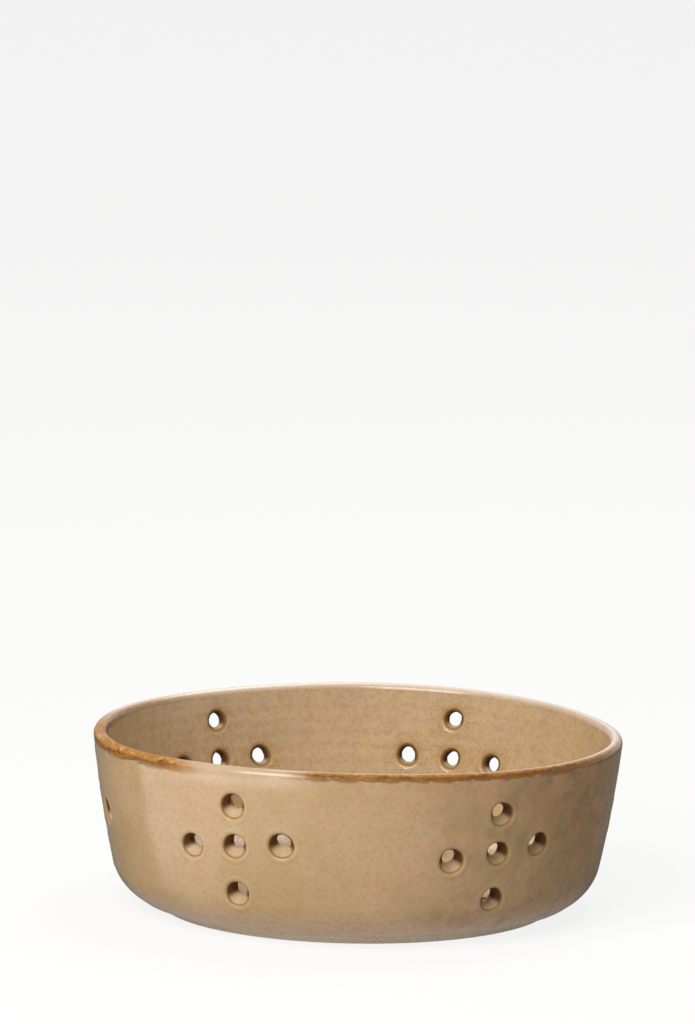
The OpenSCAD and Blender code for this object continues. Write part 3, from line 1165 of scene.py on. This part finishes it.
        colour = coated(
            tree, self.outside,
            # Tan with a pinkish blush in clouds, and iron-brown towards the right in rose and olive
            (self.outside_blush, (cloud, Span(0.38, 0.62))),
            (self.outside_iron, (iron, Span(0.65, 1.5, 0.8))),
            (self.rose, (patch, Span(0.52, 0.68, 0.42)), right),
            (self.olive, (patch, Span(0.48, 0.32, 0.4)), right),
            # Down the lower corner it lies thin and paler over the clay
            (self.hem, (height, Span(0.013, 0.003, 0.75))),
            # Milky glaze ran down the inside and pooled in its corner, which is also painted paler as the
            # painted highlight of the corner, with amber halos round the holes
            (within, inner),
            (self.milk_and_highlight, (pool_and_highlight, Span(7.0, 1.0, 0.7)), inner),
            (self.halo, (ragged, Span(7.5, 4.1, 0.7)), inner, (floor, Span(0.0, 1.0, 1.0, 0.5))),
            # Plum-brown patches where the iron lies thick
            (self.plum, (mottle, Span(0.47, 0.64, 0.5)), (iron, Span(0.75, 1.3)), outer),
            # Iron specks, dense on the floor and faint on the walls, with a fine iron mottle everywhere
            (self.speck, (dense, Span(0.53, 0.69, 0.4)), floor),
            (self.speck, (dense, Span(0.6, 0.76, 0.14)), inward),
            (self.speck, (dense, Span(0.6, 0.76, 0.4)), (ragged, Span(11.0, 5.5)), inner),
            (self.speck, (dense, Span(0.6, 0.76, 0.18)), outer),
            (self.speck, (dense, Span(0.6, 0.76, 0.22)), (iron, Span(0.9, 1.5))),
            (self.outside_iron, (fine, Span(0.42, 0.68, 0.32))),
            # The lip: a painted highlight pales its crest except at the front left, a wider painted
            # reflection pales it at the back, a painted sheen lies under its front, and amber with darker
            # streaks
            (self.milk_and_highlight, (crest, Span(1.3, 0.4)), (agreed(tree, left, warm_less_reflection), Span(0.0, 0.4, 0.0, 0.7))),
            (self.milk_and_highlight, (crest, Span(3.0, 1.2)), (forwards, Span(0.02, -0.05, 0.62)),
             (across, Span(0.08, 0.04, 1.0, 0.3)), (across, Span(-0.075, -0.035, 1.0, 0.3))),
            (self.milk_and_highlight, thick_and_sheen, (forwards, Span(0.03, 0.06, 0.28)), outer, (crest, Span(8.0, 3.5))),
            (broken, thin),
            (self.amber_deep, thin, (across, Span(-0.02, 0.03, 0.3)), (mottle, Span(0.4, 0.6))),
            (self.amber_deep, (reach, Span(5.5, 4.9)), (reach, Span(3.2, 4.0)), amber_less_reflection,
             (streaks, Span(0.3, 0.55, 0.9))),
            # Painted light in the holes: a painted highlight pales the lower lip of each wall hole, a thin
            # painted shade rings each mouth, and painted shade darkens the bores, except along the lower
            # side of the wall holes
            (self.milk_and_highlight, (sunk, Span(0.3, 0.9, 0.12)), (upper, Span(-0.2, -0.8))),
            (self.ring, (sunk, Span(0.26, 0.42, 0.8)), (sunk, Span(1.0, 0.6))),
            (self.bore, painted_bore_shade),
            (self.clay.colour(tree, place), (bare, Span(0.35, 0.65))))

        # Glossy walls, a satin floor, a drier lip, and dry clay under the glaze line
        rough = add_node(tree, "Math", {
            0: mottle, 1: 0.06, 2: agreed(tree, (floor, Span(0.0, 1.0, self.satin, self.gloss)))},
            operation="MULTIPLY_ADD")
        dry = either(tree, agreed(tree, (sunk, Span(0.05, 0.35, 0.85))), thin)
        for share, most in ((dry, self.satin), (bare, self.clay.roughness)):
            rough = add_node(tree, "Mix", {0: share, 2: rough, 3: most})
        # Orange peel is finer on the real glaze: 2.4 mm is as coarse as it needs to be to show
        relief = add_node(tree, "Math", {0: specks, 1: 0.3, 2: peel}, operation="MULTIPLY_ADD")
        bump = add_node(tree, "Bump", {
            "Strength": 0.35, "Distance": self.peel_height_mm * MM, "Height": relief})
        surface = add_node(tree, "BsdfPrincipled", {
            "Base Color": colour, "Roughness": rough, "IOR": self.ior, "Normal": bump,
            "Specular IOR Level": agreed(tree, (either(tree, painted_bore_shade, dry), Span(0.0, 0.9, 0.04, 0.5)))})
        add_node(tree, "OutputMaterial", {"Surface": surface})
        return material


@dataclass
class Studio:
    """The white table, the soft lamps and the camera that look at the bowl, in metres and degrees."""

    target: Triple = (0.0, 0.0, 0.028)
    distance: float = 3.0
    elevation: float = 11.0
    roll: float = 0.88
    pixels_per_m: float = 3200.0
    picture_px: tuple[int, int] = (695, 1024)
    target_px: Pair = (356.7, 816.2)
    table_size: float = 6.0
    paper: str = "#DEDCD8"
    painted_window_way: Triple = (-0.34, -0.94, 0.0)
    painted_window_power: float = 1.7
    room_light: float = 0.32
    # Name, azimuth and elevation in degrees, distance and size in metres, and power in watts
    lamps: tuple[tuple[str, float, float, float, float, float], ...] = (
        ("key_softbox", -30.0, 38.0, 1.3, 0.9, 20.0),
        ("top_softbox", 150.0, 60.0, 1.4, 0.8, 8.0),
    )

    def add_camera(self) -> None:
        """Sets the camera so that the bowl lies in the frame as in the lower photograph."""
        data = bpy.data.cameras.new("camera")
        data.lens = self.pixels_per_m * self.distance * data.sensor_width / max(self.picture_px)
        target, up = Vector(self.target), Vector((0, 0, 1))
        turn = radians(self.elevation)
        spot = target + self.distance * Vector((0, -cos(turn), sin(turn)))
        right_m = (self.target_px[0] - self.picture_px[0] / 2) / self.pixels_per_m
        down_m = (self.target_px[1] - self.picture_px[1] / 2) / self.pixels_per_m
        aim, roll = target.copy(), radians(self.roll)
        for _ in range(3):
            ahead = (aim - spot).normalized()
            side = ahead.cross(up).normalized()
            over = side.cross(ahead)
            right = side * cos(roll) + over * sin(roll)
            above = over * cos(roll) - side * sin(roll)
            aim = target + above * down_m - right * right_m
        camera = placed("camera", data)
        turned = Matrix((right, above, -ahead)).transposed().to_4x4()
        camera.matrix_world = Matrix.Translation(spot) @ turned
        bpy.context.scene.camera = camera

    def add_lamps(self) -> None:
        """Hangs the softboxes round the bowl."""
        for name, azimuth, elevation, distance, size, power in self.lamps:
            data = bpy.data.lights.new(name, "AREA")
            data.shape, data.size, data.energy = "SQUARE", size, power
            lamp = placed(name, data)
            turn, tilt = radians(azimuth), radians(elevation)
            flat = cos(tilt)
            way = Vector((sin(turn) * flat, -cos(turn) * flat, sin(tilt)))
            lamp.location = Vector(self.target) + way * distance
            lamp.rotation_euler = way.to_track_quat("Z", "Y").to_euler()
            LOG.info("%s hung", name)

    def add_table(self) -> None:
        """Lays the plain white table, which keeps the bowl's shadow."""
        half = self.table_size / 2
        mesh = bpy.data.meshes.new("table")
        corners = [(-half, -half, 0), (half, -half, 0), (half, half, 0), (-half, half, 0)]
        mesh.from_pydata(corners, [], [(0, 1, 2, 3)])
        table = placed("table", mesh)
        # Matt white paper gives the eye an even ground that holds nothing but the bowl's soft shadow
        material = bpy.data.materials.new("white_paper_matt")
        tree = emptied(material)
        # A painted pool of window light glows on the table in front and to the left, and the glossy wall
        # mirrors it with an edge. What is mirrored low on the wall lies near the bowl, where this painted
        # glow is a little weaker.
        place = add_node(tree, "NewGeometry").outputs["Position"]
        across, along, _ = add_node(tree, "SeparateXYZ", {0: place}).outputs
        reach, out = [
            add_node(tree, "VectorMath", {
                0: place, 1: self.painted_window_way}, operation=measure).outputs["Value"]
            for measure in ("DOT_PRODUCT", "LENGTH")]
        painted_window_glow = agreed(tree, (reach, Span(0.061, 0.069)), (across, Span(0.07, -0.13, self.painted_window_power)),
                        (out, Span(0.085, 0.15, 1.0, 0.55)))
        near = add_node(tree, "MapRange", {
            "Value": along, "From Min": 0.01, "From Max": -0.09, "To Min": 0.08, "To Max": 0.7})
        rays = add_node(tree, "LightPath").outputs
        plain = either(tree, rays["Is Camera Ray"], rays["Is Transmission Ray"])
        strength = add_node(tree, "Mix", {0: plain, 2: either(tree, painted_window_glow, near), 3: 1.0})
        glow = add_node(tree, "Emission", {"Color": WHITE, "Strength": strength})
        paper = add_node(tree, "BsdfDiffuse", {"Color": linear_colour(self.paper)})
        share = add_node(tree, "MapRange", {
            "Value": either(tree, plain, rays["Is Glossy Ray"]), "To Min": 0.4, "To Max": 0.85})
        mixed = add_node(tree, "MixShader", {0: share, 1: paper, 2: glow})
        add_node(tree, "OutputMaterial", {"Surface": mixed})
        mesh.materials.append(material)

    def add_world(self) -> None:
        """Fills the room with an even light, and shows white behind the bowl."""
        world = bpy.data.worlds.new("room")
        bpy.context.scene.world = world
        tree = emptied(world)
        rays = add_node(tree, "LightPath").outputs
        seen = either(tree, rays["Is Camera Ray"], rays["Is Glossy Ray"], rays["Is Transmission Ray"])
        strength = add_node(tree, "MapRange", {
            "Value": seen, "To Min": self.room_light, "To Max": 1.0})
        light = add_node(tree, "Background", {"Color": WHITE, "Strength": strength})
        add_node(tree, "OutputWorld", {"Surface": light})


def main() -> None:
    """Builds the bowl, its foot and the studio in order."""
    logging.basicConfig(level=logging.INFO, format="%(message)s")
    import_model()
    bpy.context.scene.view_settings.view_transform = "Standard"
    studio = Studio()
    studio.add_camera()
    shape = BowlShape()
    clay = BareStoneware()
    bowl = GlazedBowl(shape, HolePattern(shape)).build(ReactiveGlaze(clay).material())
    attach(bowl, "root")
    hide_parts("stoneware_body", "outer_glaze", "liner_glaze", "rim_band", "base_glaze",
                "wall_hole_glaze", "floor_hole_glaze")
    foot = TurnedFoot(shape).build(clay.material())
    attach(foot, "root")
    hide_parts("foot_ring")
    studio.add_table()
    studio.add_lamps()
    studio.add_world()


if __name__ == "__main__":
    main()
